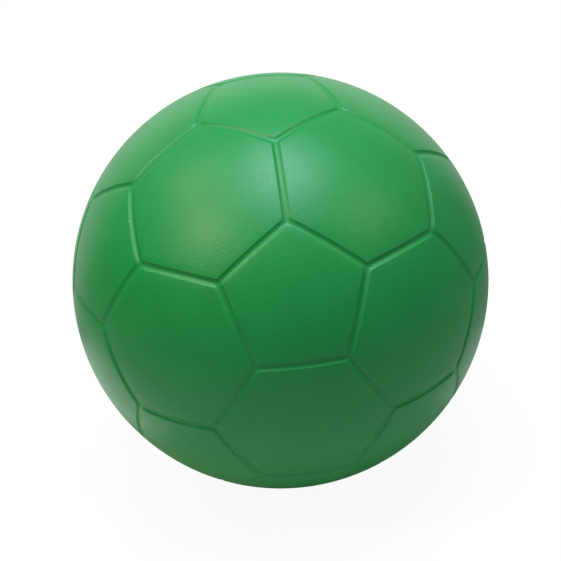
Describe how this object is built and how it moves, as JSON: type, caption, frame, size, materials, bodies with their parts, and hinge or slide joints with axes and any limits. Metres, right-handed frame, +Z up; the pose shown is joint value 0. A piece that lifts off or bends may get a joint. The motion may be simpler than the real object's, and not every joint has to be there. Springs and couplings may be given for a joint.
{
  "type": "foam ball",
  "caption": "Soft foam ball in one smooth moulded skin, with shallow moulded channels that draw the panels of a classic football, for kicking and throwing.",
  "frame": {"origin": "centre of the ball", "axes": "+Z up through the middle of a five-sided panel; the upper belt has a five-sided panel facing -Y, the front, and the breather pinhole is in the panel opposite it"},
  "size_m": [0.2, 0.2, 0.2],
  "materials": {
    "skin": "satin",
    "foam": "matte"
  },
  "bodies": {
    "root": {"skin": "skin", "foam_core": "foam"}
  },
  "joints": []
}
